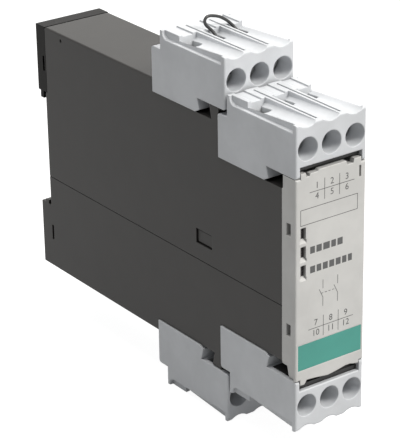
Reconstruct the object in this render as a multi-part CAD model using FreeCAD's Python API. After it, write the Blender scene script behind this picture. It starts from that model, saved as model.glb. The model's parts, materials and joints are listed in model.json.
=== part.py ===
import FreeCAD, Part
import math
import os

# Safety relay in a 22.5 mm housing for a 35 mm top hat rail.  Millimetres.
# Origin: centre of the rail seat.  +Z up, the front faces -Y, X runs across the width.
# "Depth" is a distance behind the front cover's face, "drop" a distance below a block's outer edge.

Vec = FreeCAD.Vector

# Housing
MODULE_WIDTH = 22.5
FRONT_DEPTH = 115.5
BODY_RISE = 3.8
SIDE_PROUD = 0.4
WALL = 1.5
SEAM_Z = -8.4
SEAM_GROOVE = 0.2
EDGE_ROUND = 0.5
SIDE_DOT_D = 1.0
SIDE_DOT_DEEP = 0.3
SIDE_DOT_DROP = 1.9
SIDE_DOT_INSET = 8.4

# Rail seat, hook and foot
RAIL_HALF = 17.6
RAIL_THICK = 1.0
RAIL_CLEAR = 0.2
LIP_THICK = 1.6
HOOK_LIP_REACH = 2.1
FOOT_LIP_REACH = 1.1
HOOK_FRONT_Y = -0.7
HOOK_REAR_Y = 4.6
FOOT_REAR_Y = 4.9
HOOK_TRAVEL = 2.5
HOOK_GAP = 0.1
HOOK_NECK_WIDTH = 6.0
HOOK_NECK_BOTTOM = 22.0
HOOK_NECK_HEIGHT = 8.0
HOOK_FLANGE_SIDE = 2.0
HOOK_FLANGE_THICK = 1.4
HOOK_ROUND = 1.0
SPRING_RADIUS = 1.3
SPRING_WIRE = 0.4
GRIP_SLOT_HEIGHT = 4.6
GRIP_SLOT_TOP = 28.5
GRIP_SLOT_WIDTH = 0.9
GRIP_SLOT_DEEP = 1.2

# Front cover
COVER_THICK = 2.0
COVER_RIM = 5.1
COVER_MID_RIM = 5.5
COVER_MID_RISE = 0.4
COVER_RISE = 4.0
COVER_WALL = 1.5
COVER_TAB_THICK = 1.5
COVER_CORNER_RIM = 3.6
SCOOP_START = 0.8
SCOOP_TOP = -23.4
SCOOP_DEEP = 0.8
LATCH_SLOT_DEPTH = 2.0
LATCH_SLOT_WIDTH = 1.7
LATCH_SLOT_HEIGHT = 3.4
LATCH_SLOT_Z = 14.0
LATCH_ARM_THICK = 1.3
LATCH_CLEAR = 0.15
LATCH_BARB = 0.4
BAND_HALF_WIDTH = 10.4
BAND_TOP = -17.8
BAND_HEIGHT = 7.2
BAND_THICK = 0.3
LENS_COUNT = 3
LENS_X = -8.85
LENS_WIDTH = 1.7
LENS_HEIGHT = 3.25
LENS_PITCH = 5.15
LENS_TOP_Z = 13.1
LENS_RECESS = 0.9
LENS_LIP_DROP = 1.0
LENS_LIP_DEEP = 0.8
LENS_LIP_SIDE = 0.2
MARK_SLOT_X = 9.35
MARK_SLOT_WIDTH = 0.6
MARK_SLOT_HEIGHT = 3.1
MARK_SLOT_Z = 25.5
MARK_SLOT_DEEP = 0.8
# Wavy edges of the tabs: distance across the width and rise of each corner above the cover's end
COVER_TOP_EDGE = [
    (-9.65, 1.3),
    (-8.1, 1.3),
    (-7.9, 0.2),
    (-6.9, 0.2),
    (-6.7, 0.85),
    (-4.2, 0.85),
    (-3.8, 1.3),
    (4.8, 1.3),
    (5.1, 0.2),
    (7.1, 0.2),
    (7.4, 1.3),
    (9.65, 1.3),
]
COVER_LOW_EDGE = [
    (-9.65, 1.3),
    (-8.3, 1.3),
    (-7.5, 0.2),
    (-4.9, 0.4),
    (-2.2, 0.8),
    (-0.6, 1.0),
    (1.7, 0.75),
    (4.0, 0.35),
    (5.2, 0.1),
    (6.9, 0.1),
    (7.8, 0.4),
    (9.65, 0.7),
]

# Side window of the snap joint between the two shells
WINDOW_DEPTH = 35.8
WINDOW_LENGTH = 7.0
WINDOW_TOP = 0.5
WINDOW_HEIGHT = 4.2
TONGUE_CLEAR = 0.4
TONGUE_THICK = 1.2
TONGUE_ROOT = 3.5

# Terminal blocks: an outer (front) tier at the cover, an inner (rear) tier set back
BLOCK_LENGTH = 32.0
BLOCK_HEIGHT = 18.2
BLOCK_GAP = 0.2
FRONT_TIER_EDGE = 42.4
REAR_TIER_RISE = 9.6
TIER_OVERLAP = 3.0
STEP_LENGTH = 4.0
FRONT_STEP_DROP = 6.0
REAR_STEP_DROP = 5.3
BLOCK_ROUND = 0.6
FACE_EDGE_ROUND = 0.35
BUMP_ROUND = 0.9
WING_THICK = 1.3
WING_DROP = 14.2
NOTCH_LENGTH = 12.0
NOTCH_LEAN = 0.9
FACE_DROP = 11.4
FRONT_PULL_ANGLE = 30.0
REAR_PULL_ANGLE = 90.0

# Terminals
POLES = 3
POLE_PITCH = 7.5
SCREW_HOLE_D = 6.2
SCREW_AXIS_DROP = 6.8
SCREW_D = 3.0
SCREW_HEAD_D = 5.2
SCREW_HEAD_LENGTH = 2.4
SCREW_HEAD_DEEP = 5.5
SCREW_SLOT_WIDTH = 0.8
SCREW_SLOT_DEEP = 1.0
SCREW_SEAT = 1.0
THREAD_CLEAR = 0.05
HEAD_CLEAR = 0.05
CLAMP_TRAVEL = 3.0
CLAMP_WIDTH = 6.0
CLAMP_HEIGHT = 6.0
CLAMP_FRONT_WALL = 2.0
CLAMP_REAR_WALL = 0.8
CLAMP_WINDOW_WIDTH = 4.5
CLAMP_WINDOW_LENGTH = 6.5
CLAMP_CLEAR = 0.1
CLAMP_MARGIN = 0.3
BAR_WIDTH = 4.0
BAR_THICK = 0.8
BAR_CLEAR = 0.9
BAR_SLACK = 0.05
LEG_DROP = 13.2
LEG_THICK = 0.7
PIN_SIZE = 1.0
PIN_LENGTH = 8.0
PIN_CLEAR = 0.15
SOCKET_SIZE = 3.0
SOCKET_START = 2.4
SOCKET_LENGTH = 4.6
HEADER_THICK = 1.4
HEADER_HEIGHT = 3.0
FRONT_PIN_DROP = 14.2
REAR_PIN_DEPTH = 25.6
WIRE_ENTRY = 4.3
ENTRY_WIDTH = 3.2
TROUGH_CHORD = 5.6
TROUGH_SAG = 1.1
TROUGH_LENGTH = 20.7
TROUGH_FALL = 1.4
ENTRY_STEP = 0.4
RIB_SLIT = 0.6
RIB_SLIT_DEEP = 0.5
RIB_SLIT_END = 1.2
REBATE_DEEP = 1.0
REBATE_CHAMFER = 0.2
REBATE_DROP = 2.15
REBATE_START = 1.3
REBATE_ROUND = 1.9
REBATE_END = 1.0

# Release levers under the blocks' faces, and the body's posts and webs beside them
LEVER_CLEAR = 0.3
LEVER_THICK = 1.3
LEVER_SETBACK = 1.2
LEVER_LIFT = 0.75
LEVER_SIDE_GAP = 0.1
WEB_INSET = 6.0
WEB_GAP = 0.9
POST_LENGTH = 3.1
POST_DROP = 0.3

# Inner parts
BOARD_THICK = 1.6
BOARD_X = -7.9
BOARD_FRONT = 11.0
BOARD_HALF_HEIGHT = 20.0
PART_GAP = 0.05
RELAY_LENGTH = 29.0
RELAY_WIDTH = 12.6
RELAY_HEIGHT = 15.2
RELAY_DEPTH = 62.0
RELAY_LIFT = 1.2
CAPACITOR_D = 12.5
CAPACITOR_LENGTH = 15.0
CAPACITOR_DEPTH = 42.0
CAPACITOR_Z = 10.0
TRANSFORMER_SIZE = 14.0
TRANSFORMER_HEIGHT = 12.0
TRANSFORMER_DEPTH = 16.0
TRANSFORMER_Z = -12.0

# Jumper wire between the second and third terminals of the upper rear block
WIRE_D = 0.85

# Two lengths closer than this are equal
TOLERANCE = 1e-4

# Derived values
HALF_WIDTH = MODULE_WIDTH / 2
BODY_HALF = HALF_WIDTH - SIDE_PROUD
FRONT_Y = -FRONT_DEPTH
REAR_TIER_EDGE = FRONT_TIER_EDGE + REAR_TIER_RISE
REAR_TIER_SETBACK = BLOCK_LENGTH - TIER_OVERLAP
FRONT_TRAY = FRONT_TIER_EDGE - BLOCK_HEIGHT - BLOCK_GAP
REAR_TRAY = REAR_TIER_EDGE - BLOCK_HEIGHT - BLOCK_GAP
COVER_MID_HALF = FRONT_TRAY + COVER_MID_RISE
COVER_HALF = FRONT_TRAY + COVER_RISE
BODY_HALF_HEIGHT = REAR_TRAY + BODY_RISE
WEB_HALF_WIDTH = BODY_HALF - WEB_INSET
FRONT_WALL_DEPTH = BLOCK_LENGTH + BLOCK_GAP
REAR_WALL_DEPTH = REAR_TIER_SETBACK + BLOCK_LENGTH + BLOCK_GAP
POST_HEIGHT = BLOCK_HEIGHT - WING_DROP + BLOCK_GAP - POST_DROP
SCREW_SEAT_DEEP = SCREW_HEAD_DEEP + SCREW_HEAD_LENGTH + HEAD_CLEAR
CAVITY_FRONT = SCREW_SEAT_DEEP + SCREW_SEAT
CLAMP_FRONT = CAVITY_FRONT + CLAMP_MARGIN + CLAMP_TRAVEL
WINDOW_FRONT = CLAMP_FRONT + CLAMP_FRONT_WALL
WINDOW_REAR = WINDOW_FRONT + CLAMP_WINDOW_LENGTH
CLAMP_REAR = WINDOW_REAR + CLAMP_REAR_WALL
BAR_FRONT = WINDOW_FRONT + BAR_CLEAR
SCREW_END = BAR_FRONT - CLAMP_MARGIN
ENTRY_REAR = WINDOW_REAR - CLAMP_CLEAR
ENTRY_FRONT = ENTRY_REAR - WIRE_ENTRY
CAVITY_TOP_DROP = SCREW_AXIS_DROP - CLAMP_HEIGHT / 2 - CLAMP_CLEAR
CAVITY_HEIGHT = CLAMP_HEIGHT + 2 * CLAMP_CLEAR
POLE_XS = [(pole - (POLES - 1) / 2) * POLE_PITCH for pole in range(POLES)]
LATCH_ARM_X = HALF_WIDTH - COVER_WALL - LATCH_CLEAR - LATCH_ARM_THICK

# Each tier: depth of the block's face, height of its outer edge, drop of the rear step, pull angle
TIERS = {
    "front": (0.0, FRONT_TIER_EDGE, FRONT_STEP_DROP, FRONT_PULL_ANGLE),
    "rear": (REAR_TIER_SETBACK, REAR_TIER_EDGE, REAR_STEP_DROP, REAR_PULL_ANGLE),
}


def box(x0, x1, y0, y1, z0, z1):
    """Box between two corners."""
    return Part.makeBox(x1 - x0, y1 - y0, z1 - z0, Vec(x0, y0, z0))


def span(half, y0, y1, z0, z1):
    """Box that is symmetric across the width."""
    return box(-half, half, y0, y1, z0, z1)


def at_depth(depth):
    """Y of a plane this far behind the cover's face."""
    return FRONT_Y + depth


def cut_all(solid, tools):
    """The solid less all the tools, as one clean solid."""
    return solid.cut(tools).removeSplitter()


def fuse_all(first, others):
    """One clean solid of all the pieces."""
    return first.fuse(others).removeSplitter()


def rounded_wire(corners):
    """Closed wire in the YZ plane through (y, z, radius) corners, each rounded by its radius."""
    points = [Vec(0, y, z) for y, z, _ in corners]
    starts = []
    edges = []
    for index, (_, _, radius) in enumerate(corners):
        corner = points[index]
        to_last = (points[index - 1] - corner).normalize()
        to_next = (points[(index + 1) % len(points)] - corner).normalize()
        if radius == 0:
            starts.append((corner, corner))
            continue
        half = to_last.getAngle(to_next) / 2
        reach = radius / math.tan(half)
        middle = (to_last + to_next).normalize()
        crown = corner + middle * (radius / math.sin(half) - radius)
        first = corner + to_last * reach
        second = corner + to_next * reach
        edges.append(Part.Arc(first, crown, second).toShape())
        starts.append((first, second))
    for index, (_, leave) in enumerate(starts):
        arrive = starts[(index + 1) % len(starts)][0]
        edges.append(Part.LineSegment(leave, arrive).toShape())
    return Part.Wire(Part.__sortEdges__(edges))


def extrude_profile(corners, half):
    """Side profile of (y, z, radius) corners carried across the width."""
    wire = rounded_wire(corners)
    wire.translate(Vec(-half, 0, 0))
    return Part.Face(wire).extrude(Vec(2 * half, 0, 0))


def round_edges(solid, radius, wanted):
    """Fillet the edges whose end points all satisfy wanted(point)."""
    edges = [edge for edge in solid.Edges if all(wanted(vertex.Point) for vertex in edge.Vertexes)]
    return solid.makeFillet(radius, edges)


def same(a, b):
    """True for equal lengths."""
    return abs(a - b) < TOLERANCE


# ---------------------------------------------------------------- dark body

def body_outline():
    """Side profile of the whole dark body, lower half mirrored from the upper half."""
    post_top = REAR_TRAY + POST_HEIGHT
    upper = [
        (at_depth(COVER_MID_RIM), FRONT_TRAY, 0),
        (at_depth(FRONT_WALL_DEPTH), FRONT_TRAY, 0),
        (at_depth(FRONT_WALL_DEPTH), post_top, 0),
        (at_depth(FRONT_WALL_DEPTH + POST_LENGTH + NOTCH_LEAN), post_top, 0),
        (at_depth(FRONT_WALL_DEPTH + POST_LENGTH), REAR_TRAY, 0),
        (at_depth(REAR_WALL_DEPTH), REAR_TRAY, 0),
        (at_depth(REAR_WALL_DEPTH), BODY_HALF_HEIGHT, 0),
        (HOOK_FRONT_Y - HOOK_GAP, BODY_HALF_HEIGHT, 0),
        (HOOK_FRONT_Y - HOOK_GAP, RAIL_HALF, 0),
        (0, RAIL_HALF, 0),
    ]
    lower = [(y, -z, radius) for y, z, radius in reversed(upper[:-3])]
    foot = [
        (0, -RAIL_HALF, 0),
        (RAIL_THICK + RAIL_CLEAR, -RAIL_HALF, 0),
        (RAIL_THICK + RAIL_CLEAR, -RAIL_HALF + FOOT_LIP_REACH, 0),
        (RAIL_THICK + RAIL_CLEAR + LIP_THICK, -RAIL_HALF + FOOT_LIP_REACH, 0),
        (RAIL_THICK + RAIL_CLEAR + LIP_THICK, -RAIL_HALF, 0),
        (FOOT_REAR_Y, -RAIL_HALF, 0),
        (FOOT_REAR_Y, -BODY_HALF_HEIGHT, 0),
    ]
    return upper + foot + lower


def body_cavity():
    """Inner space of the body, open at the front behind the cover."""
    half = BODY_HALF - WALL
    main_front = at_depth(REAR_WALL_DEPTH + WALL)
    mid_front = at_depth(FRONT_WALL_DEPTH + WALL)
    main_rear = HOOK_FRONT_Y - HOOK_GAP - WALL
    main = span(half, main_front, main_rear, WALL - BODY_HALF_HEIGHT, BODY_HALF_HEIGHT - WALL)
    middle = span(half, mid_front, main_front + WALL, WALL - REAR_TRAY, REAR_TRAY - WALL)
    front = span(half, at_depth(COVER_MID_RIM - WALL), mid_front + WALL, WALL - FRONT_TRAY, FRONT_TRAY - WALL)
    return fuse_all(main, [middle, front])


def notch_webs():
    """Narrow dark webs inside the notches below the blocks' levers, upper half."""
    slope = math.tan(math.radians(FRONT_PULL_ANGLE))
    toe = at_depth(NOTCH_LENGTH - WEB_GAP)
    heel = at_depth(COVER_MID_RIM)
    wedge = [
        (toe, FRONT_TRAY, 0),
        (heel, FRONT_TRAY + slope * (toe - heel), 0),
        (heel, FRONT_TRAY - WALL, 0),
        (toe, FRONT_TRAY - WALL, 0),
    ]
    rear_start = at_depth(FRONT_WALL_DEPTH + POST_LENGTH - WALL)
    rear_end = at_depth(REAR_TIER_SETBACK + NOTCH_LENGTH - NOTCH_LEAN - BLOCK_GAP)
    rear = span(WEB_HALF_WIDTH, rear_start, rear_end, REAR_TRAY - WALL, REAR_TRAY + POST_HEIGHT)
    return [extrude_profile(wedge, WEB_HALF_WIDTH), rear]


def mirrored(shape):
    """The shape mirrored to the lower half."""
    return shape.mirror(Vec(0, 0, 0), Vec(0, 0, 1))


def both_halves(shapes):
    """The shapes and their mirror images below."""
    return shapes + [mirrored(shape) for shape in shapes]


def side_windows():
    """Snap windows through both side walls."""
    y0 = at_depth(WINDOW_DEPTH)
    z0 = WINDOW_TOP - WINDOW_HEIGHT
    return span(HALF_WIDTH, y0, y0 + WINDOW_LENGTH, z0, WINDOW_TOP)


def latch_arm(side, z_mid):
    """Arm and barb that hold the cover at one side slot."""
    half = LATCH_SLOT_HEIGHT / 2 - LATCH_CLEAR
    y0 = at_depth(LATCH_SLOT_DEPTH + LATCH_CLEAR)
    y1 = at_depth(COVER_MID_RIM + 2 * WALL)
    outer = LATCH_ARM_X + LATCH_ARM_THICK
    barb_y1 = y0 + LATCH_SLOT_WIDTH - 2 * LATCH_CLEAR
    arm = box(LATCH_ARM_X, outer, y0, y1, z_mid - half, z_mid + half)
    barb = box(outer, outer + LATCH_BARB, y0, barb_y1, z_mid - half, z_mid + half)
    whole = fuse_all(arm, [barb])
    if side < 0:
        whole = whole.mirror(Vec(0, 0, 0), Vec(1, 0, 0))
    return whole


def pin_line(tier):
    """Start point on the body's surface and direction of a tier's pins, in the YZ plane."""
    depth, edge, _, angle = TIERS[tier]
    direction = Vec(0, -math.cos(math.radians(angle)), math.sin(math.radians(angle)))
    if tier == "front":
        return Vec(0, at_depth(FRONT_WALL_DEPTH), edge - FRONT_PIN_DROP), direction
    return Vec(0, at_depth(depth + REAR_PIN_DEPTH), REAR_TRAY), direction


def along_pins(tier, x, width, start, length):
    """Square bar of a width about one pin's axis, from start to start + length along it."""
    origin, direction = pin_line(tier)
    angle = TIERS[tier][3]
    bar = span(width / 2, -width / 2, width / 2, 0, length)
    bar.rotate(Vec(0, 0, 0), Vec(1, 0, 0), 90 - angle)
    bar.translate(origin + direction * start + Vec(x, 0, 0))
    return bar


def pin_holes(slack):
    """Holes in the body's walls for the upper pins."""
    return [along_pins(tier, x, PIN_SIZE + 2 * slack, -2 * WALL - HEADER_THICK, 3 * WALL + HEADER_THICK)
            for tier in TIERS for x in POLE_XS]


def foot_slots():
    """Grip slots in the sides of the foot."""
    z1 = -GRIP_SLOT_TOP + GRIP_SLOT_HEIGHT
    cutter = box(BODY_HALF - GRIP_SLOT_DEEP, HALF_WIDTH, -GRIP_SLOT_WIDTH, 0, -GRIP_SLOT_TOP, z1)
    return [cutter, cutter.mirror(Vec(0, 0, 0), Vec(1, 0, 0))]


def hook_slot():
    """Slot in the rear wall for the hook's neck, with room for its travel."""
    half = HOOK_NECK_WIDTH / 2 + HOOK_GAP
    z1 = HOOK_NECK_BOTTOM + HOOK_NECK_HEIGHT + HOOK_TRAVEL + 2 * HOOK_GAP
    return span(half, HOOK_FRONT_Y - 2 * WALL, HOOK_FRONT_Y + WALL, HOOK_NECK_BOTTOM - HOOK_GAP, z1)


def side_marks():
    """Fine groove along the seam and a round sink mark, in both side walls."""
    half = SEAM_GROOVE / 2
    groove = box(BODY_HALF - SEAM_GROOVE, HALF_WIDTH, FRONT_Y, FOOT_REAR_Y, SEAM_Z - half, SEAM_Z + half)
    centre = Vec(BODY_HALF - SIDE_DOT_DEEP, HOOK_FRONT_Y - SIDE_DOT_INSET, BODY_HALF_HEIGHT - SIDE_DOT_DROP)
    dot = Part.makeCylinder(SIDE_DOT_D / 2, SIDE_DOT_DEEP + SIDE_PROUD, centre, Vec(1, 0, 0))
    marks = [groove, dot]
    return marks + [mark.mirror(Vec(0, 0, 0), Vec(1, 0, 0)) for mark in marks]


def whole_body():
    """Dark body with its webs, before it is split at the seam."""
    outer = extrude_profile(body_outline(), BODY_HALF)

    def on_long_edge(point):
        tall = same(abs(point.z), BODY_HALF_HEIGHT)
        return tall and same(abs(point.x), BODY_HALF)

    outer = round_edges(outer, EDGE_ROUND, on_long_edge)
    body = fuse_all(outer, both_halves(notch_webs()))
    tools = [body_cavity(), hook_slot()] + foot_slots() + side_marks() + both_halves(pin_holes(PART_GAP))
    return cut_all(body, tools)


def snap_tongue(side):
    """Tongue of the lower shell with its barb in the upper shell's side window."""
    y0 = at_depth(WINDOW_DEPTH) + TONGUE_CLEAR
    y1 = at_depth(WINDOW_DEPTH) + WINDOW_LENGTH - TONGUE_CLEAR
    inner = BODY_HALF - WALL
    top = WINDOW_TOP - TONGUE_CLEAR
    bottom = SEAM_Z - TONGUE_ROOT
    barb_bottom = WINDOW_TOP - WINDOW_HEIGHT + TONGUE_CLEAR
    blade = box(inner - PART_GAP - TONGUE_THICK, inner - PART_GAP, y0, y1, bottom, top)
    root = box(inner - TONGUE_THICK, inner + PART_GAP, y0, y1, bottom, SEAM_Z - PART_GAP)
    barb = box(inner - TONGUE_THICK, BODY_HALF - TONGUE_CLEAR, y0, y1, barb_bottom, top)
    whole = fuse_all(blade, [root, barb])
    if side < 0:
        whole = whole.mirror(Vec(0, 0, 0), Vec(1, 0, 0))
    return whole


def shells():
    """Upper and lower shell, with the arms that hold the cover."""
    body = whole_body()
    reach = FRONT_DEPTH + MODULE_WIDTH
    above = span(MODULE_WIDTH, -reach, reach, SEAM_Z, reach)
    below = span(MODULE_WIDTH, -reach, reach, -reach, SEAM_Z)
    upper_arms = [latch_arm(side, LATCH_SLOT_Z) for side in (-1, 1)]
    lower_arms = [latch_arm(side, -LATCH_SLOT_Z) for side in (-1, 1)]
    tongues = [snap_tongue(side) for side in (-1, 1)]
    upper = cut_all(body.common(above), [side_windows()])
    upper = fuse_all(upper, upper_arms)
    lower = fuse_all(body.common(below), lower_arms + tongues)
    return upper, lower


# ---------------------------------------------------------------- rail hook

def rail_hook():
    """Sliding hook at the top of the rear, with its neck and inner flange."""
    lip_y0 = RAIL_THICK + RAIL_CLEAR
    profile = [
        (HOOK_FRONT_Y, RAIL_HALF + HOOK_GAP, 0),
        (lip_y0, RAIL_HALF + HOOK_GAP, 0),
        (lip_y0, RAIL_HALF - HOOK_LIP_REACH, 0),
        (lip_y0 + LIP_THICK, RAIL_HALF - HOOK_LIP_REACH, 0),
        (lip_y0 + LIP_THICK, RAIL_HALF, 0),
        (HOOK_REAR_Y, RAIL_HALF, 0),
        (HOOK_REAR_Y, BODY_HALF_HEIGHT, 0),
        (HOOK_FRONT_Y, BODY_HALF_HEIGHT, 0),
    ]
    strip = extrude_profile(profile, BODY_HALF)

    def on_rear_edge(point):
        return same(abs(point.x), BODY_HALF) and same(point.y, HOOK_REAR_Y)

    strip = round_edges(strip, HOOK_ROUND, on_rear_edge)
    z0 = HOOK_NECK_BOTTOM
    z1 = HOOK_NECK_BOTTOM + HOOK_NECK_HEIGHT
    flange_rear = HOOK_FRONT_Y - WALL - 2 * HOOK_GAP
    neck = span(HOOK_NECK_WIDTH / 2, flange_rear - HOOK_FLANGE_THICK, HOOK_FRONT_Y + WALL, z0, z1)
    flange_half = HOOK_NECK_WIDTH / 2 + HOOK_FLANGE_SIDE
    flange = span(flange_half, flange_rear - HOOK_FLANGE_THICK, flange_rear, z0, z1)
    slot_z0 = GRIP_SLOT_TOP - GRIP_SLOT_HEIGHT
    slot = box(BODY_HALF - GRIP_SLOT_DEEP, HALF_WIDTH, 0, GRIP_SLOT_WIDTH, slot_z0, GRIP_SLOT_TOP)
    hook = fuse_all(strip, [neck, flange])
    return cut_all(hook, [slot, slot.mirror(Vec(0, 0, 0), Vec(1, 0, 0))])


def hook_spring():
    """Envelope of the coil spring between the hook's flange and the body's top wall."""
    y = HOOK_FRONT_Y - WALL - 2 * HOOK_GAP - HOOK_FLANGE_THICK / 2
    z0 = HOOK_NECK_BOTTOM + HOOK_NECK_HEIGHT
    z1 = BODY_HALF_HEIGHT - WALL
    room = HOOK_FLANGE_THICK / 2 + SPRING_RADIUS
    centre = Vec(0, y - room + SPRING_RADIUS, z0)
    outer = Part.makeCylinder(SPRING_RADIUS, z1 - z0, centre)
    inner = Part.makeCylinder(SPRING_RADIUS - SPRING_WIRE, z1 - z0, centre)
    return outer.cut(inner)


# ---------------------------------------------------------------- front cover

def cover_tabs():
    """Plate whose wavy ends stand out above and below the cover."""
    top = [Vec(x, FRONT_Y, COVER_HALF + rise) for x, rise in COVER_TOP_EDGE]
    low = [Vec(x, FRONT_Y, -COVER_HALF - rise) for x, rise in reversed(COVER_LOW_EDGE)]
    outline = Part.makePolygon(top + low + top[:1])
    return Part.Face(outline).extrude(Vec(0, COVER_TAB_THICK, 0))


def front_cover():
    """Light cover: a shallow cap with side slots, status windows and the band's recess."""
    outer = span(HALF_WIDTH, at_depth(0), at_depth(COVER_RIM), -COVER_HALF, COVER_HALF)
    middle = span(HALF_WIDTH, at_depth(COVER_RIM), at_depth(COVER_MID_RIM), -COVER_MID_HALF, COVER_MID_HALF)

    def on_front_corner(point):
        return same(abs(point.x), HALF_WIDTH) and same(point.y, FRONT_Y)

    outer = round_edges(outer, EDGE_ROUND, on_front_corner)
    cap = fuse_all(outer, [middle])
    pocket_half = HALF_WIDTH - COVER_WALL
    pocket_top = FRONT_TRAY - WALL
    tools = [span(pocket_half, at_depth(COVER_THICK), at_depth(2 * COVER_RIM), -pocket_top, pocket_top)]
    for z_mid in (-LATCH_SLOT_Z, LATCH_SLOT_Z):
        z0 = z_mid - LATCH_SLOT_HEIGHT / 2
        y0 = at_depth(LATCH_SLOT_DEPTH)
        tools.append(span(MODULE_WIDTH, y0, y0 + LATCH_SLOT_WIDTH, z0, z0 + LATCH_SLOT_HEIGHT))
    tools += [status_window(index, 0) for index in range(LENS_COUNT)]
    tools += [window_lip(index) for index in range(LENS_COUNT)]
    tools += corner_scoops()
    tools.append(front_band())
    corner_y0 = at_depth(COVER_CORNER_RIM)
    tools.append(span(MODULE_WIDTH, corner_y0, at_depth(COVER_RIM), -COVER_HALF, -COVER_MID_HALF))
    mark_z = MARK_SLOT_Z - MARK_SLOT_HEIGHT / 2
    mark_x = MARK_SLOT_X - MARK_SLOT_WIDTH / 2
    tools.append(box(mark_x, mark_x + MARK_SLOT_WIDTH, FRONT_Y, at_depth(MARK_SLOT_DEEP),
                     mark_z, mark_z + MARK_SLOT_HEIGHT))
    return cut_all(fuse_all(cap, [cover_tabs()]), tools)


def status_window(index, recess):
    """Window in the cover's wall, or the lens that lies recessed in it."""
    z0 = LENS_TOP_Z - index * LENS_PITCH - LENS_HEIGHT / 2
    x0 = LENS_X - LENS_WIDTH / 2
    return box(x0, x0 + LENS_WIDTH, at_depth(recess), at_depth(COVER_THICK), z0, z0 + LENS_HEIGHT)


def window_lip(index):
    """Slope below a status window, down to the cover's face."""
    z0 = LENS_TOP_Z - index * LENS_PITCH - LENS_HEIGHT / 2
    wedge = extrude_profile([
        (at_depth(-LENS_LIP_DEEP), z0 - 2 * LENS_LIP_DROP, 0),
        (at_depth(LENS_LIP_DEEP), z0, 0),
        (at_depth(-LENS_LIP_DEEP), z0, 0),
    ], LENS_WIDTH / 2 + LENS_LIP_SIDE)
    wedge.translate(Vec(LENS_X, 0, 0))
    return wedge


def corner_scoops():
    """Sloping scoops in the cover's side walls at its lower corners."""
    low = -COVER_HALF
    outline = Part.makePolygon([
        Vec(HALF_WIDTH, at_depth(SCOOP_START), SCOOP_TOP),
        Vec(HALF_WIDTH, at_depth(SCOOP_START), low),
        Vec(HALF_WIDTH - SCOOP_DEEP, at_depth(SCOOP_START), low),
        Vec(HALF_WIDTH, at_depth(SCOOP_START), SCOOP_TOP),
    ])
    scoop = Part.Face(outline).extrude(Vec(0, COVER_MID_RIM, 0))
    return [scoop, scoop.mirror(Vec(0, 0, 0), Vec(1, 0, 0))]


def front_band():
    """Coloured band inlaid in the cover's face."""
    z0 = BAND_TOP - BAND_HEIGHT
    return span(BAND_HALF_WIDTH, FRONT_Y, at_depth(BAND_THICK), z0, BAND_TOP)


# ---------------------------------------------------------------- terminal blocks

def place(shape, tier):
    """Move a shape from a block's frame (y behind its face, z from its outer edge) to the upper tier."""
    depth, edge = TIERS[tier][:2]
    moved = shape.copy()
    moved.translate(Vec(0, at_depth(depth), edge))
    return moved


def block_envelope(step_drop):
    """Outer shape of a block with its step, notch and wings."""
    step_y = BLOCK_LENGTH - STEP_LENGTH
    profile = [
        (0, 0, 0),
        (step_y, 0, 0),
        (step_y, -step_drop, 0),
        (BLOCK_LENGTH, -step_drop, BUMP_ROUND),
        (BLOCK_LENGTH, -BLOCK_HEIGHT, 0),
        (NOTCH_LENGTH + NOTCH_LEAN, -BLOCK_HEIGHT, 0),
        (NOTCH_LENGTH - NOTCH_LEAN, -BLOCK_HEIGHT + NOTCH_LEAN, 0),
        (NOTCH_LENGTH, -WING_DROP, 0),
        (0, -WING_DROP, 0),
    ]
    block = extrude_profile(profile, HALF_WIDTH)

    def on_front_corner(point):
        return same(abs(point.x), HALF_WIDTH) and same(point.y, 0)

    block = round_edges(block, BLOCK_ROUND, on_front_corner)
    between = span(HALF_WIDTH - WING_THICK, -WALL, NOTCH_LENGTH - NOTCH_LEAN, -WING_DROP - WALL, -FACE_DROP)
    block = block.cut(between)

    def on_face_edge(point):
        return same(point.y, 0) and same(point.z, -FACE_DROP) and abs(point.x) < HALF_WIDTH - WING_THICK / 2

    return round_edges(block, FACE_EDGE_ROUND, on_face_edge)


def top_troughs():
    """Round-bottomed troughs that deepen towards the wire entries."""
    half = TROUGH_CHORD / 2
    radius = (half ** 2 + TROUGH_SAG ** 2) / (2 * TROUGH_SAG)
    fall = math.degrees(math.atan(TROUGH_FALL / TROUGH_LENGTH))
    troughs = []
    for x in POLE_XS:
        start = Vec(x, -TROUGH_LENGTH, radius - TROUGH_SAG)
        hollow = Part.makeCylinder(radius, 3 * TROUGH_LENGTH, start, Vec(0, 1, 0))
        hollow.rotate(Vec(x, 0, 0), Vec(1, 0, 0), -fall)
        troughs.append(hollow.common(box(x - half, x + half, -WALL, TROUGH_LENGTH, -radius, WALL)))
    return troughs


def entry_steps():
    """Shallow steps in the top behind the wire entries."""
    half = ENTRY_WIDTH / 2
    top_end = BLOCK_LENGTH - STEP_LENGTH
    return [box(x - half, x + half, ENTRY_FRONT, top_end, -ENTRY_STEP, WALL) for x in POLE_XS]


def rib_slits():
    """Narrow slits between the troughs."""
    middles = [(a + b) / 2 for a, b in zip(POLE_XS, POLE_XS[1:])]
    end = BLOCK_LENGTH - STEP_LENGTH - RIB_SLIT_END
    return [box(x - RIB_SLIT / 2, x + RIB_SLIT / 2, REBATE_START, end, -RIB_SLIT_DEEP, WALL)
            for x in middles]


def side_rebates():
    """Long rebates along the block's top side edges, rounded at their rear ends."""
    y1 = BLOCK_LENGTH - STEP_LENGTH - REBATE_END
    profile = [
        (REBATE_START, WALL, 0),
        (REBATE_START, -REBATE_DROP, 0),
        (y1, -REBATE_DROP, REBATE_ROUND),
        (y1, WALL, 0),
    ]
    strip = extrude_profile(profile, REBATE_DEEP)
    shift = HALF_WIDTH
    right = strip.copy()
    right.translate(Vec(shift, 0, 0))
    strip.translate(Vec(-shift, 0, 0))
    return [right, strip]


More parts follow.
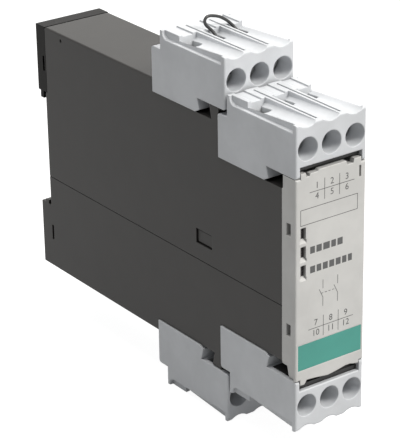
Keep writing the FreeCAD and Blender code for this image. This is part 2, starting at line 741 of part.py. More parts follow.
def soften_rebates(block):
    """Chamfer the outer edges of the rebates' ledges."""
    ends = (REBATE_START, BLOCK_LENGTH - STEP_LENGTH - REBATE_END)

    def on_ledge(point):
        on_side = same(abs(point.x), HALF_WIDTH)
        in_length = ends[0] - TOLERANCE < point.y < ends[1] + TOLERANCE
        return on_side and in_length and -REBATE_DROP - TOLERANCE < point.z < -TOLERANCE

    edges = [edge for edge in block.Edges if all(on_ledge(vertex.Point) for vertex in edge.Vertexes)]
    return block.makeChamfer(REBATE_CHAMFER, edges)


def terminal_cavities(x):
    """Screw tunnel, clamp chamber, wire entry and seat hole of one terminal."""
    axis = Vec(0, 1, 0)
    tunnel = Part.makeCylinder(SCREW_HOLE_D / 2, SCREW_SEAT_DEEP, Vec(x, 0, -SCREW_AXIS_DROP), axis)
    seat_radius = SCREW_D / 2 + 2 * THREAD_CLEAR
    seat = Part.makeCylinder(seat_radius, CAVITY_FRONT, Vec(x, 0, -SCREW_AXIS_DROP), axis)
    half = CLAMP_WIDTH / 2 + CLAMP_CLEAR
    bottom = -CAVITY_TOP_DROP - CAVITY_HEIGHT
    chamber = box(x - half, x + half, CAVITY_FRONT, CLAMP_REAR + CLAMP_MARGIN, bottom, -CAVITY_TOP_DROP)
    entry_half = ENTRY_WIDTH / 2
    entry = box(x - entry_half, x + entry_half, ENTRY_FRONT, ENTRY_REAR, -CAVITY_TOP_DROP, WALL)
    return [tunnel, seat, chamber, entry]


def contact_bar(tier, x, slack):
    """Bar in the clamp, leg and socket of one contact, in place in the upper half."""
    half = BAR_WIDTH / 2 + slack
    top = -CAVITY_TOP_DROP - CLAMP_CLEAR
    bar_front = BAR_FRONT - slack
    bar_rear = BAR_FRONT + BAR_THICK + slack
    leg_bottom = -LEG_DROP - LEG_THICK
    strip = box(x - half, x + half, bar_front, bar_rear, leg_bottom, top)
    origin, direction = pin_line(tier)
    depth, edge = TIERS[tier][:2]
    centre = origin + direction * (SOCKET_START + SOCKET_LENGTH / 2)
    leg_end = centre.y - at_depth(depth)
    leg = box(x - half, x + half, bar_front, leg_end, leg_bottom - slack, -LEG_DROP + slack)
    socket = along_pins(tier, x, SOCKET_SIZE + 2 * slack, SOCKET_START - slack, SOCKET_LENGTH + 2 * slack)
    return place(strip, tier).fuse([place(leg, tier), socket])


def contact_bars(tier):
    """The three contacts of a block, each with the bore that its pin enters."""
    contacts = []
    for x in POLE_XS:
        bore = along_pins(tier, x, PIN_SIZE + 2 * PIN_CLEAR, 0, PIN_LENGTH + 2 * PIN_CLEAR)
        contacts.append(cut_all(contact_bar(tier, x, 0), [bore]))
    return Part.makeCompound(contacts)


def terminal_housing(tier):
    """Moulded housing of one block, in place in the upper half."""
    step_drop = TIERS[tier][2]
    envelope = soften_rebates(cut_all(block_envelope(step_drop), side_rebates()))
    tools = top_troughs() + entry_steps() + rib_slits()
    for x in POLE_XS:
        tools += terminal_cavities(x)
    housing = place(cut_all(envelope, tools), tier)
    slots = [contact_bar(tier, x, BAR_SLACK) for x in POLE_XS]
    channel = PIN_SIZE + 2 * PIN_CLEAR
    slots += [along_pins(tier, x, channel, -PIN_LENGTH, 2 * PIN_LENGTH + 2 * PIN_CLEAR) for x in POLE_XS]
    return cut_all(housing, slots)


def release_lever(tier):
    """Dark lever between the wings, behind the gap under the block's face."""
    half = HALF_WIDTH - WING_THICK - LEVER_SIDE_GAP
    top = -FACE_DROP
    bottom = top - LEVER_THICK
    rear = NOTCH_LENGTH - NOTCH_LEAN
    plate = span(half, LEVER_SETBACK, rear, bottom, top)
    if tier == "rear":
        return place(plate, tier)
    slope = math.tan(math.radians(FRONT_PULL_ANGLE))
    tray = -BLOCK_HEIGHT - BLOCK_GAP
    heel = COVER_MID_RIM + LEVER_CLEAR
    toe = NOTCH_LENGTH - WEB_GAP
    under_wings = -WING_DROP - LEVER_SIDE_GAP
    wedge = [
        (heel, under_wings, 0),
        (heel, tray + LEVER_LIFT + slope * (toe - heel), 0),
        (rear, tray + LEVER_LIFT + slope * (toe - rear), 0),
        (rear, under_wings, 0),
    ]
    neck = span(half, heel, rear, under_wings, bottom)
    return place(fuse_all(plate, [neck, extrude_profile(wedge, WEB_HALF_WIDTH)]), tier)


def terminal_screw(tier, x):
    """Slotted clamp screw."""
    axis = Vec(0, 1, 0)
    head_end = SCREW_HEAD_DEEP + SCREW_HEAD_LENGTH
    head_start = Vec(x, SCREW_HEAD_DEEP, -SCREW_AXIS_DROP)
    head = Part.makeCylinder(SCREW_HEAD_D / 2, SCREW_HEAD_LENGTH, head_start, axis)
    shank = Part.makeCylinder(SCREW_D / 2, SCREW_END - head_end, Vec(x, head_end, -SCREW_AXIS_DROP), axis)
    slots = []
    for half_x, half_z in ((SCREW_HEAD_D, SCREW_SLOT_WIDTH / 2), (SCREW_SLOT_WIDTH / 2, SCREW_HEAD_D / 3)):
        slots.append(box(x - half_x, x + half_x, 0, SCREW_HEAD_DEEP + SCREW_SLOT_DEEP,
                         -SCREW_AXIS_DROP - half_z, -SCREW_AXIS_DROP + half_z))
    return place(cut_all(head.fuse(shank), slots), tier)


def terminal_clamp(tier, x):
    """Rising cage that the screw draws towards its head."""
    half = CLAMP_WIDTH / 2
    z0 = -SCREW_AXIS_DROP - CLAMP_HEIGHT / 2
    z1 = z0 + CLAMP_HEIGHT
    cage = box(x - half, x + half, CLAMP_FRONT, CLAMP_REAR, z0, z1)
    window_half = CLAMP_WINDOW_WIDTH / 2
    window = box(x - window_half, x + window_half, WINDOW_FRONT, WINDOW_REAR, z0, z1)
    hole_radius = SCREW_D / 2 + THREAD_CLEAR
    hole = Part.makeCylinder(hole_radius, WINDOW_FRONT, Vec(x, 0, -SCREW_AXIS_DROP), Vec(0, 1, 0))
    return place(cut_all(cage, [window, hole]), tier)


def header_pins(tier):
    """Three pins on a base strip inside the body's wall."""
    origin, direction = pin_line(tier)
    pins = [along_pins(tier, x, PIN_SIZE, -WALL * 2, PIN_LENGTH + 2 * WALL) for x in POLE_XS]
    half = POLE_XS[-1] + HEADER_HEIGHT / 2 - PART_GAP
    if tier == "front":
        y0 = at_depth(FRONT_WALL_DEPTH) + WALL + PART_GAP
        z_mid = origin.z - math.tan(math.radians(FRONT_PULL_ANGLE)) * WALL
        base = span(half, y0, y0 + HEADER_THICK, z_mid - HEADER_HEIGHT, z_mid + HEADER_HEIGHT / 2)
    else:
        z1 = REAR_TRAY - WALL - PART_GAP
        base = span(half, origin.y - HEADER_HEIGHT / 2, origin.y + HEADER_HEIGHT / 2, z1 - HEADER_THICK, z1)
    return fuse_all(base, pins)


# ---------------------------------------------------------------- inner parts

def main_board():
    """Circuit board along the left wall."""
    y0 = at_depth(BOARD_FRONT)
    y1 = HOOK_FRONT_Y - HOOK_GAP - WALL - PART_GAP
    return box(BOARD_X, BOARD_X + BOARD_THICK, y0, y1, -BOARD_HALF_HEIGHT, BOARD_HALF_HEIGHT)


def board_face():
    """X of the board's component side."""
    return BOARD_X + BOARD_THICK


def relay(z0):
    """Sealed relay on the board, with the edge of its cap relieved."""
    x0 = board_face()
    y0 = at_depth(RELAY_DEPTH)
    case = box(x0, x0 + RELAY_HEIGHT, y0, y0 + RELAY_LENGTH, z0, z0 + RELAY_WIDTH)

    def on_cap(point):
        return same(point.x, x0 + RELAY_HEIGHT)

    return round_edges(case, EDGE_ROUND, on_cap)


def supply_capacitor():
    """Round capacitor standing on the board."""
    x0 = board_face()
    foot = Vec(x0, at_depth(CAPACITOR_DEPTH + CAPACITOR_D / 2), CAPACITOR_Z)
    return Part.makeCylinder(CAPACITOR_D / 2, CAPACITOR_LENGTH, foot, Vec(1, 0, 0))


def transformer():
    """Small encapsulated transformer."""
    x0 = board_face()
    y0 = at_depth(TRANSFORMER_DEPTH)
    z0 = TRANSFORMER_Z - TRANSFORMER_SIZE / 2
    z1 = z0 + TRANSFORMER_SIZE
    return box(x0, x0 + TRANSFORMER_HEIGHT, y0, y0 + TRANSFORMER_SIZE, z0, z1)


def wire_route():
    """Centre line points of the jumper, from one clamp over the block to the next."""
    foot_y = BAR_FRONT + BAR_THICK + WIRE_D / 2 + BAR_SLACK
    y = at_depth(REAR_TIER_SETBACK)
    left, right = POLE_XS[1], POLE_XS[2]
    z = REAR_TIER_EDGE
    return [
        Vec(left, y + foot_y, z - 9.0),
        Vec(left, y + foot_y, z - 3.8),
        Vec(left + 0.35, y + 19.75, z - 1.05),
        Vec(left - 1.75, y + 20.5, z + 1.15),
        Vec(left - 2.15, y + 20.7, z + 2.3),
        Vec(left - 1.4, y + 20.8, z + 3.35),
        Vec(left, y + 20.8, z + 3.4),
        Vec(left + 2.65, y + 20.7, z + 2.7),
        Vec(left + 5.1, y + 20.5, z + 1.15),
        Vec(right - 0.45, y + 19.75, z - 1.0),
        Vec(right, y + foot_y, z - 3.8),
        Vec(right, y + foot_y, z - 9.0),
    ]


def tube_along(points, diameter):
    """Tube of straight runs joined by tangent arcs; prints each arc's radius."""
    edges = []
    start = points[0]
    radii = []
    for index in range(1, len(points) - 1):
        corner = points[index]
        back = points[index - 1] - corner
        ahead = points[index + 1] - corner
        reach = 0.45 * min(back.Length, ahead.Length)
        to_last = Vec(back).normalize()
        to_next = Vec(ahead).normalize()
        half = to_last.getAngle(to_next) / 2
        radius = reach * math.tan(half)
        radii.append(round(radius, 2))
        first = corner + to_last * reach
        second = corner + to_next * reach
        crown = corner + (to_last + to_next).normalize() * (radius / math.sin(half) - radius)
        edges.append(Part.LineSegment(start, first).toShape())
        edges.append(Part.Arc(first, crown, second).toShape())
        start = second
    edges.append(Part.LineSegment(start, points[-1]).toShape())
    path = Part.Wire(edges)
    section = Part.Wire(Part.makeCircle(diameter / 2, points[0], points[1] - points[0]))
    tube = path.makePipeShell([section], True, False, 2)
    ratio = tube.Volume / (math.pi * diameter ** 2 / 4 * path.Length)
    print("wire length", round(path.Length, 2), "radii", radii, "volume ratio", round(ratio, 4))
    return tube


# ---------------------------------------------------------------- all nodes

def block_nodes(tier):
    """Nodes of one block in the upper half, by name without its position."""
    nodes = {
        "terminal_housing": terminal_housing(tier),
        "contact_bars": contact_bars(tier),
        "release_lever": release_lever(tier),
    }
    for number, x in enumerate(POLE_XS, start=1):
        nodes["terminal_screw_%d" % number] = terminal_screw(tier, x)
        nodes["terminal_clamp_%d" % number] = terminal_clamp(tier, x)
    return nodes


def all_nodes():
    """Every node of the part, by name."""
    upper, lower = shells()
    nodes = {
        "upper_shell": upper,
        "lower_shell": lower,
        "rail_hook": rail_hook(),
        "rail_hook_spring": hook_spring(),
        "front_cover": front_cover(),
        "front_band": front_band(),
        "main_board": main_board(),
        "relay_a": relay(RELAY_LIFT),
        "relay_b": relay(-RELAY_LIFT - RELAY_WIDTH),
        "supply_capacitor": supply_capacitor(),
        "transformer": transformer(),
        "wire_jumper": tube_along(wire_route(), WIRE_D),
    }
    for index in range(LENS_COUNT):
        nodes["status_lens_%d" % (index + 1)] = status_window(index, LENS_RECESS)
    for tier in TIERS:
        pins = header_pins(tier)
        nodes["upper_%s_pins" % tier] = pins
        nodes["lower_%s_pins" % tier] = mirrored(pins)
        for name, shape in block_nodes(tier).items():
            nodes["upper_%s_%s" % (tier, name)] = shape
            nodes["lower_%s_%s" % (tier, name)] = mirrored(shape)
    return nodes


os.makedirs("parts", exist_ok=True)
for node, solid in all_nodes().items():
    print(node, len(solid.Solids), round(solid.Volume, 1), solid.isValid())
    solid.exportStep(os.path.join("parts", node + ".step"))
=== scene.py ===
import bpy
import bmesh
import json
import math
from mathutils import Matrix, Vector


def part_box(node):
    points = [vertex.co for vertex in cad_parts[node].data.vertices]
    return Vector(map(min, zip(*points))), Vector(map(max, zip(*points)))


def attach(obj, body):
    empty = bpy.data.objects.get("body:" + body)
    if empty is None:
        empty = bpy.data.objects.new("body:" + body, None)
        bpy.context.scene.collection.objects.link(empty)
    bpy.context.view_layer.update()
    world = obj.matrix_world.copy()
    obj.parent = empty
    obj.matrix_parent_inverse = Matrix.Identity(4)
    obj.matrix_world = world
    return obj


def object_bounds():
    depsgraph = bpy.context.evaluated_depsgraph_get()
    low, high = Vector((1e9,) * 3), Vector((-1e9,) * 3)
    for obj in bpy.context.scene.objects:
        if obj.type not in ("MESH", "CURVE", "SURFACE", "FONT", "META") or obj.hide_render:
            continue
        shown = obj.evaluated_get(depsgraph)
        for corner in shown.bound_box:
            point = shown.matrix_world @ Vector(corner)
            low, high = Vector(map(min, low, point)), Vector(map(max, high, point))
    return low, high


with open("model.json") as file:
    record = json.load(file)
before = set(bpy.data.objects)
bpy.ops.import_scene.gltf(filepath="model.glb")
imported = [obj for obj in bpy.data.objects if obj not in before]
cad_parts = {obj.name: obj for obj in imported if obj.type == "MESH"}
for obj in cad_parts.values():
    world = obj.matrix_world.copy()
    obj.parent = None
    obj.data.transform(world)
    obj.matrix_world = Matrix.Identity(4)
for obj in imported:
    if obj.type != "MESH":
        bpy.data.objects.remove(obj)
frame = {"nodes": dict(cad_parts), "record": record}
cad_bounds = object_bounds()

MM = 0.001

# Camera, in the frame of the part
CAMERA_PLACE = (-0.3161, -0.4982, 0.2332)
CAMERA_YAW = math.radians(-35.77)
CAMERA_PITCH = math.radians(-23.76)
CAMERA_ROLL = math.radians(-0.98)
LENS = 176.9
SENSOR = 36.0

# Light, in metres and watts
WHITE = (1.0, 1.0, 1.0, 1.0)
AMBIENT = 0.32
AMBIENT_TINT = (0.95, 0.975, 1.0, 1.0)
LAMP_TINT = (1.0, 0.985, 0.95)
LAMPS = {
    "key_lamp": {"place": (0.3, -0.75, 0.8), "size": 0.4, "power": 9.0},
    "top_lamp": {"place": (-0.12, -0.05, 1.0), "size": 0.5, "power": 5.2},
    "front_lamp": {"place": (0.35, -1.15, 0.3), "size": 0.6, "power": 0.8},
    "back_lamp": {"place": (0.6, 0.85, 0.5), "size": 0.7, "power": 1.8},
}
FLOOR_SIZE = 6.0
FLOOR_GAP = 0.1 * MM
FLOOR_GLOW = 0.93
FLOOR_COLOR = (0.32, 0.32, 0.32, 1.0)

# Colour clouds: their scale, the noise values where they end, and their tones
MOTTLE_SCALE = 90.0
MOTTLE_LOW = 0.35
MOTTLE_HIGH = 0.65
MOTTLE_DARK = 0.95
MOTTLE_LIGHT = 1.05

# Worn edges, partly a painted edge highlight: cosines between the rounded and the flat normal, and their
# tone
WEAR_HIGHLIGHT_STARTS = 0.99
WEAR_HIGHLIGHT_FULL = 0.85
WORN_HIGHLIGHT_TONE = 1.35

# Grain: its bump, and how far the roughness goes below and above its value
GRAIN_BUMP = 0.35
ROUGH_BELOW = 0.05
ROUGH_ABOVE = 0.07

# Painted shade in deep recesses: the reach that is probed, the openness where it is darkest, and where it
# ends
PAINTED_SHADE_REACH = 3.0 * MM
PAINTED_SHADE_SHUT = 0.15
PAINTED_SHADE_OPEN = 0.75
PROBE_SAMPLES = 8

# Sockets of a colour mix node
MIX_FACTOR = 0
MIX_A = 6
MIX_B = 7
MIX_RESULT = 2

# In each finish, one value sets how dark the painted shade in deep recesses gets, and edge sets how much
# lighter the worn edges, partly a painted highlight, are.
FINISHES = {
    "body_shell": {"color": (0.037, 0.035, 0.033), "roughness": 0.5, "grain": 3500.0,
                   "grain_depth": 0.03 * MM, "edge": 0.35, "Specular IOR Level": 0.28},
    "hook_shell": {"color": (0.014, 0.0132, 0.0126), "roughness": 0.5, "grain": 3500.0,
                   "grain_depth": 0.03 * MM, "edge": 0.35, "Specular IOR Level": 0.08},
    # The lever's near-black is partly painted shade: it fills the gap under the front block, which is dark
    # from shade.
    "lever": {"color": (0.02, 0.02, 0.02), "roughness": 0.5, "grain": 3500.0, "grain_depth": 0.02 * MM,
              "edge": 0.2},
    "cover": {"color": (0.63, 0.622, 0.605), "roughness": 0.5, "grain": 4200.0, "grain_depth": 0.02 * MM,
              "edge": 0.35, "bevel_radius": 0.4 * MM, "crevice_shade": 0.6},
    "block": {"color": (0.655, 0.668, 0.69), "roughness": 0.45, "grain": 4200.0, "grain_depth": 0.02 * MM,
              "edge": 0.4, "bevel_radius": 0.45 * MM, "crevice_shade": 0.7},
    "band": {"color": (0.062, 0.315, 0.26), "roughness": 0.45, "grain": 4200.0, "grain_depth": 0.01 * MM,
             "edge": 0.1},
    "lens": {"color": (0.035, 0.03, 0.032), "roughness": 0.25, "grain": 1500.0, "grain_depth": 0.01 * MM,
             "edge": 0.1},
    "steel": {"color": (0.55, 0.55, 0.54), "roughness": 0.38, "grain": 2500.0, "grain_depth": 0.02 * MM,
              "edge": 0.3, "Metallic": 1.0},
    "contact": {"color": (0.75, 0.62, 0.36), "roughness": 0.35, "grain": 2500.0, "grain_depth": 0.02 * MM,
                "edge": 0.3, "Metallic": 1.0},
    "board": {"color": (0.03, 0.13, 0.06), "roughness": 0.4, "grain": 1200.0, "grain_depth": 0.02 * MM,
              "edge": 0.2},
    "relay_case": {"color": (0.09, 0.09, 0.1), "roughness": 0.35, "grain": 3000.0, "grain_depth": 0.02 * MM,
                   "edge": 0.3},
    "can": {"color": (0.6, 0.62, 0.65), "roughness": 0.35, "grain": 2000.0, "grain_depth": 0.02 * MM,
            "edge": 0.2, "Metallic": 1.0},
    "potting": {"color": (0.05, 0.05, 0.07), "roughness": 0.5, "grain": 2500.0, "grain_depth": 0.03 * MM,
                "edge": 0.2},
    "wire": {"color": (0.035, 0.035, 0.035), "roughness": 0.35, "grain": 2500.0, "grain_depth": 0.01 * MM,
             "edge": 0.0},
}
INK = {"color": (0.1, 0.1, 0.1), "roughness": 0.6, "grain": 6000.0, "grain_depth": 0.005 * MM, "edge": 0.0}

# Printing on the cover, in millimetres across and up
INK_LIFT = 0.02 * MM
LINE = 0.16
UPPER_GRID = {"left": -6.9, "right": 7.5, "top": 26.6, "bottom": 20.9, "first_number": 1}
LOWER_GRID = {"left": -7.1, "right": 7.6, "top": -11.2, "bottom": -17.0, "first_number": 7}
GRID_COLUMNS = 3
GRID_ROWS = 2
TEXT_SIZE = 2.45
NAME_FIELD = {"left": -9.7, "right": 8.6, "bottom": 15.4, "top": 19.6}
BARS = (
    {"left": -6.6, "middle": 8.0, "height": 1.9, "widths": (1.5, 1.7, 2.1, 1.5, 1.7)},
    {"left": -6.6, "middle": 2.6, "height": 1.9, "widths": (1.6, 1.5, 1.6, 1.6, 1.6, 1.4, 1.3)},
)
BAR_GAP = 0.5
CONTACT_XS = (-2.4, 2.4)
CONTACT_TOP = -1.2
CONTACT_BOTTOM = -8.6
CONTACT_SWING = 1.2
LINK_DASH = 0.7
LINK_PITCH = 1.2


# ---------------------------------------------------------------- materials

class Nodes:
    """Short way to build the node tree of a material or a world."""

    def __init__(self, owner):
        owner.use_nodes = True
        self.tree = owner.node_tree
        self.tree.nodes.clear()

    def add(self, kind, **settings):
        """New node with its properties and input values."""
        node = self.tree.nodes.new(kind)
        inputs = settings.pop("inputs", {})
        for key, value in settings.items():
            setattr(node, key, value)
        for key, value in inputs.items():
            node.inputs[key].default_value = value
        return node

    def join(self, source, output, target, entry):
        """Link between two nodes."""
        self.tree.links.new(source.outputs[output], target.inputs[entry])


def shade(color, factor):
    """The colour made lighter or darker, with alpha 1."""
    return tuple(min(1.0, channel * factor) for channel in color) + (1.0,)


def mottled_tone(nodes, place, color):
    """Colour with soft clouds of a darker and a lighter tone."""
    mottle = nodes.add("ShaderNodeTexNoise", inputs={"Scale": MOTTLE_SCALE, "Detail": 3.0, "Roughness": 0.6})
    nodes.join(place, "Object", mottle, "Vector")
    tone = nodes.add("ShaderNodeValToRGB")
    low, high = tone.color_ramp.elements
    low.position = MOTTLE_LOW
    low.color = shade(color, MOTTLE_DARK)
    high.position = MOTTLE_HIGH
    high.color = shade(color, MOTTLE_LIGHT)
    nodes.join(mottle, "Fac", tone, "Fac")
    return tone


def worn_tone(nodes, tone, bevel, color, edge):
    """The tone made lighter where the bevel turns the surface: edge wear together with a painted edge
    highlight.
    """
    geometry = nodes.add("ShaderNodeNewGeometry")
    facing = nodes.add("ShaderNodeVectorMath", operation="DOT_PRODUCT")
    nodes.join(bevel, "Normal", facing, 0)
    nodes.join(geometry, "Normal", facing, 1)
    wear_and_highlight = nodes.add("ShaderNodeMapRange",
                     inputs={"From Min": WEAR_HIGHLIGHT_STARTS, "From Max": WEAR_HIGHLIGHT_FULL, "To Min": 0.0, "To Max": edge})
    nodes.join(facing, "Value", wear_and_highlight, "Value")
    worn_and_highlit = nodes.add("ShaderNodeMix", data_type="RGBA", inputs={MIX_B: shade(color, WORN_HIGHLIGHT_TONE)})
    nodes.join(wear_and_highlight, "Result", worn_and_highlit, MIX_FACTOR)
    nodes.join(tone, "Color", worn_and_highlit, MIX_A)
    return worn_and_highlit


def crevice_depth(nodes, crevice_shade):
    """Painted shade: a factor of 1 in the open that falls to the given darkest value in deep recesses."""
    crevice = nodes.add("ShaderNodeAmbientOcclusion", samples=PROBE_SAMPLES,
                        inputs={"Distance": PAINTED_SHADE_REACH})
    depth = nodes.add("ShaderNodeMapRange", inputs={"From Min": PAINTED_SHADE_SHUT, "From Max": PAINTED_SHADE_OPEN,
                                                    "To Min": crevice_shade, "To Max": 1.0})
    nodes.join(crevice, "AO", depth, "Value")
    return depth


def finish_material(name, color, roughness, grain, grain_depth, edge, bevel_radius=0.22 * MM,
                    crevice_shade=0.2, **settings):
    """Moulded or drawn surface: mottled colour, lighter worn edges that are partly a painted edge highlight,
    fine grain, softly rounded edges, and painted shade that darkens colour and gloss in deep recesses.
    """
    material = bpy.data.materials.new(name)
    nodes = Nodes(material)
    place = nodes.add("ShaderNodeTexCoord")
    bevel = nodes.add("ShaderNodeBevel", samples=PROBE_SAMPLES, inputs={"Radius": bevel_radius})
    tone = mottled_tone(nodes, place, color)
    # Edges made lighter, partly as wear and partly as a painted edge highlight.
    worn_and_highlit = worn_tone(nodes, tone, bevel, color, edge)

    speck = nodes.add("ShaderNodeTexNoise", inputs={"Scale": grain, "Detail": 2.0, "Roughness": 0.55})
    nodes.join(place, "Object", speck, "Vector")
    rough = nodes.add("ShaderNodeMapRange",
                      inputs={"To Min": roughness - ROUGH_BELOW, "To Max": roughness + ROUGH_ABOVE})
    nodes.join(speck, "Fac", rough, "Value")
    bump = nodes.add("ShaderNodeBump", inputs={"Strength": GRAIN_BUMP, "Distance": grain_depth})
    nodes.join(speck, "Fac", bump, "Height")
    nodes.join(bevel, "Normal", bump, "Normal")

    # Painted shade: the base colour and the gloss are darkened in deep recesses, where shade falls.
    depth = crevice_depth(nodes, crevice_shade)
    painted_shade_color = nodes.add("ShaderNodeVectorMath", operation="SCALE")
    nodes.join(worn_and_highlit, MIX_RESULT, painted_shade_color, 0)
    nodes.join(depth, "Result", painted_shade_color, "Scale")

    skin = nodes.add("ShaderNodeBsdfPrincipled", inputs=settings)
    painted_shade_gloss = nodes.add("ShaderNodeMath", operation="MULTIPLY",
                      inputs={1: skin.inputs["Specular IOR Level"].default_value})
    nodes.join(depth, "Result", painted_shade_gloss, 0)
    nodes.join(painted_shade_color, "Vector", skin, "Base Color")
    nodes.join(painted_shade_gloss, "Value", skin, "Specular IOR Level")
    nodes.join(rough, "Result", skin, "Roughness")
    nodes.join(bump, "Normal", skin, "Normal")
    output = nodes.add("ShaderNodeOutputMaterial")
    nodes.join(skin, "BSDF", output, "Surface")
    return material


def dress_cad():
    """New materials on the CAD nodes, by their material slot."""
    materials = {slot: finish_material("finish_" + slot, **values) for slot, values in FINISHES.items()}
    for part in frame["record"]["subparts"]:
        node = frame["nodes"][part["node"]]
        for index in range(len(node.data.materials)):
            node.data.materials[index] = materials[part["material_slot"]]


# ---------------------------------------------------------------- printing on the cover

def front_plane():
    """Y of the ink, just in front of the cover's face."""
    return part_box("front_cover")[0][1] - INK_LIFT


def new_print(name, mesh, ink):
    """Piece of printing that rides on the housing."""
    mesh.materials.append(ink)
    piece = bpy.data.objects.new(name, mesh)
    bpy.context.scene.collection.objects.link(piece)
    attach(piece, "housing")


def add_quad(mesh, corners):
    """Flat face on the ink plane from (across, up) corners in millimetres."""
    y = front_plane()
    mesh.faces.new([mesh.verts.new((x * MM, y, z * MM)) for x, z in corners])


def add_rect(mesh, left, right, bottom, top):
    """Upright rectangle of ink."""
    add_quad(mesh, ((left, bottom), (right, bottom), (right, top), (left, top)))


def add_stroke(mesh, start, end):
    """Straight line of ink between two points."""
    a = Vector(start)
    b = Vector(end)
    along = (b - a).normalized()
    side = Vector((-along.y, along.x)) * LINE / 2
    add_quad(mesh, (a - side, b - side, b + side, a + side))


def add_grid(mesh, grid):
    """Lines between the fields of a terminal table."""
    left, right, top, bottom = grid["left"], grid["right"], grid["top"], grid["bottom"]
    middle = (top + bottom) / 2
    add_stroke(mesh, (left, middle), (right, middle))
    for column in range(1, GRID_COLUMNS):
        x = left + (right - left) * column / GRID_COLUMNS
        add_stroke(mesh, (x, bottom), (x, top))


def add_frame(mesh, field):
    """Thin outline of the bare name field."""
    corners = [(field["left"], field["bottom"]), (field["right"], field["bottom"]),
               (field["right"], field["top"]), (field["left"], field["top"])]
    for start, end in zip(corners, corners[1:] + corners[:1]):
        add_stroke(mesh, start, end)


def add_bars(mesh, row):
    """Row of plain bars beside a status window."""
    left = row["left"]
    bottom = row["middle"] - row["height"] / 2
    for width in row["widths"]:
        add_rect(mesh, left, left + width, bottom, bottom + row["height"])
        left += width + BAR_GAP


def add_contacts(mesh):
    """Two plain switch contacts joined by a dashed link."""
    third = (CONTACT_TOP - CONTACT_BOTTOM) / 3
    for x in CONTACT_XS:
        add_stroke(mesh, (x, CONTACT_TOP), (x, CONTACT_TOP - third))
        add_stroke(mesh, (x, CONTACT_BOTTOM), (x, CONTACT_BOTTOM + third))
        add_stroke(mesh, (x, CONTACT_BOTTOM + third), (x - CONTACT_SWING, CONTACT_TOP - third))
    middle = (CONTACT_TOP + CONTACT_BOTTOM) / 2
    first, last = CONTACT_XS
    for index in range(round((last - first) / LINK_PITCH)):
        x = first - CONTACT_SWING / 2 + index * LINK_PITCH
        add_stroke(mesh, (x, middle), (x + LINK_DASH, middle))


def print_lines(ink):
    """All lines and bars as one piece."""
    mesh = bmesh.new()
    add_grid(mesh, UPPER_GRID)
    add_grid(mesh, LOWER_GRID)
    add_frame(mesh, NAME_FIELD)
    for row in BARS:
        add_bars(mesh, row)
    add_contacts(mesh)
    data = bpy.data.meshes.new("print_lines")
    mesh.to_mesh(data)
    mesh.free()
    new_print("print_lines", data, ink)


def print_number(number, x, z, name, ink):
    """One plain number, centred on a field of a terminal table."""
    curve = bpy.data.curves.new(name, "FONT")
    curve.body = str(number)
    curve.size = TEXT_SIZE * MM
    curve.align_x = "CENTER"
    curve.align_y = "CENTER"
    source = bpy.data.objects.new(name + "_source", curve)
    bpy.context.scene.collection.objects.link(source)
    bpy.context.view_layer.update()
    view = bpy.context.evaluated_depsgraph_get()
    mesh = bpy.data.meshes.new_from_object(source.evaluated_get(view))
    bpy.data.objects.remove(source)
    upright = Matrix.Rotation(math.pi / 2, 4, "X")
    mesh.transform(Matrix.Translation((x * MM, front_plane(), z * MM)) @ upright)
    new_print(name, mesh, ink)


def print_numbers(grid, prefix, ink):
    """The numbers of a terminal table, row by row."""
    column_width = (grid["right"] - grid["left"]) / GRID_COLUMNS
    row_height = (grid["top"] - grid["bottom"]) / GRID_ROWS
    for index in range(GRID_COLUMNS * GRID_ROWS):
        row, column = divmod(index, GRID_COLUMNS)
        x = grid["left"] + (column + 0.5) * column_width
        z = grid["top"] - (row + 0.5) * row_height
        print_number(grid["first_number"] + index, x, z, "%s_%d" % (prefix, index + 1), ink)


# ---------------------------------------------------------------- stage

def make_camera():
    """Camera from its place, yaw, pitch and roll."""
    view = Vector((-math.sin(CAMERA_YAW) * math.cos(CAMERA_PITCH),
                   math.cos(CAMERA_YAW) * math.cos(CAMERA_PITCH), math.sin(CAMERA_PITCH)))
    across = view.cross(Vector((0, 0, 1))).normalized()
    upward = across.cross(view)
    right = math.cos(CAMERA_ROLL) * across + math.sin(CAMERA_ROLL) * upward
    up = -math.sin(CAMERA_ROLL) * across + math.cos(CAMERA_ROLL) * upward
    turn = Matrix((right, up, -view)).transposed().to_4x4()
    data = bpy.data.cameras.new("camera")
    data.lens = LENS
    data.sensor_width = SENSOR
    camera = bpy.data.objects.new("camera", data)
    camera.matrix_world = Matrix.Translation(CAMERA_PLACE) @ turn
    bpy.context.scene.collection.objects.link(camera)
    bpy.context.scene.camera = camera


def make_lamps():
    """Large soft lamps aimed at the middle of the part."""
    low, high = cad_bounds
    middle = (Vector(low) + Vector(high)) / 2
    for name, values in LAMPS.items():
        data = bpy.data.lights.new(name, "AREA")
        data.size = values["size"]
        data.energy = values["power"]
        data.color = LAMP_TINT
        lamp = bpy.data.objects.new(name, data)
        lamp.location = values["place"]
        lamp.rotation_euler = (middle - lamp.location).to_track_quat("-Z", "Y").to_euler()
        bpy.context.scene.collection.objects.link(lamp)


def seen_directly(nodes):
    """Node whose value is 1 for camera, glossy and transmission rays."""
    path = nodes.add("ShaderNodeLightPath")
    surface = nodes.add("ShaderNodeMath", operation="MAXIMUM")
    nodes.join(path, "Is Camera Ray", surface, 0)
    nodes.join(path, "Is Glossy Ray", surface, 1)
    seen = nodes.add("ShaderNodeMath", operation="MAXIMUM")
    nodes.join(surface, "Value", seen, 0)
    nodes.join(path, "Is Transmission Ray", seen, 1)
    return seen


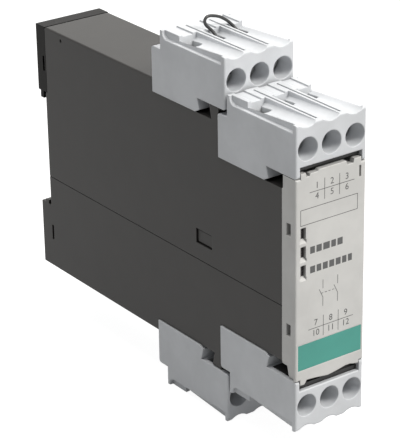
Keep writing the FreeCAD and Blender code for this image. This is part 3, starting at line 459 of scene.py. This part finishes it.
def make_world():
    """White where it is seen, softer and tinted where it lights."""
    world = bpy.data.worlds.new("studio")
    bpy.context.scene.world = world
    nodes = Nodes(world)
    seen = seen_directly(nodes)
    strength = nodes.add("ShaderNodeMapRange", inputs={"To Min": AMBIENT, "To Max": 1.0})
    nodes.join(seen, "Value", strength, "Value")
    tint = nodes.add("ShaderNodeMix", data_type="RGBA", inputs={MIX_A: AMBIENT_TINT, MIX_B: WHITE})
    nodes.join(seen, "Value", tint, MIX_FACTOR)
    background = nodes.add("ShaderNodeBackground")
    nodes.join(tint, MIX_RESULT, background, "Color")
    nodes.join(strength, "Result", background, "Strength")
    output = nodes.add("ShaderNodeOutputWorld")
    nodes.join(background, "Background", output, "Surface")


def floor_material():
    """Matte surface that also glows where it is seen."""
    material = bpy.data.materials.new("floor")
    nodes = Nodes(material)
    matte = nodes.add("ShaderNodeBsdfDiffuse", inputs={"Color": FLOOR_COLOR})
    lit = nodes.add("ShaderNodeMapRange", inputs={"To Min": 0.0, "To Max": FLOOR_GLOW})
    nodes.join(seen_directly(nodes), "Value", lit, "Value")
    glow = nodes.add("ShaderNodeEmission")
    nodes.join(lit, "Result", glow, "Strength")
    both = nodes.add("ShaderNodeAddShader")
    nodes.join(matte, "BSDF", both, 0)
    nodes.join(glow, "Emission", both, 1)
    output = nodes.add("ShaderNodeOutputMaterial")
    nodes.join(both, "Shader", output, "Surface")
    return material


def make_floor():
    """Pale floor just under the part, white to the camera apart from soft shadow."""
    z = cad_bounds[0][2] - FLOOR_GAP
    half = FLOOR_SIZE / 2
    corners = [(-half, -half, z), (half, -half, z), (half, half, z), (-half, half, z)]
    mesh = bpy.data.meshes.new("floor")
    mesh.from_pydata(corners, [], [(0, 1, 2, 3)])
    mesh.materials.append(floor_material())
    floor = bpy.data.objects.new("floor", mesh)
    bpy.context.scene.collection.objects.link(floor)


make_camera()
make_lamps()
make_world()
make_floor()
dress_cad()
ink = finish_material("finish_ink", **INK)
print_lines(ink)
print_numbers(UPPER_GRID, "upper_number", ink)
print_numbers(LOWER_GRID, "lower_number", ink)
bpy.context.scene.view_settings.view_transform = "Standard"
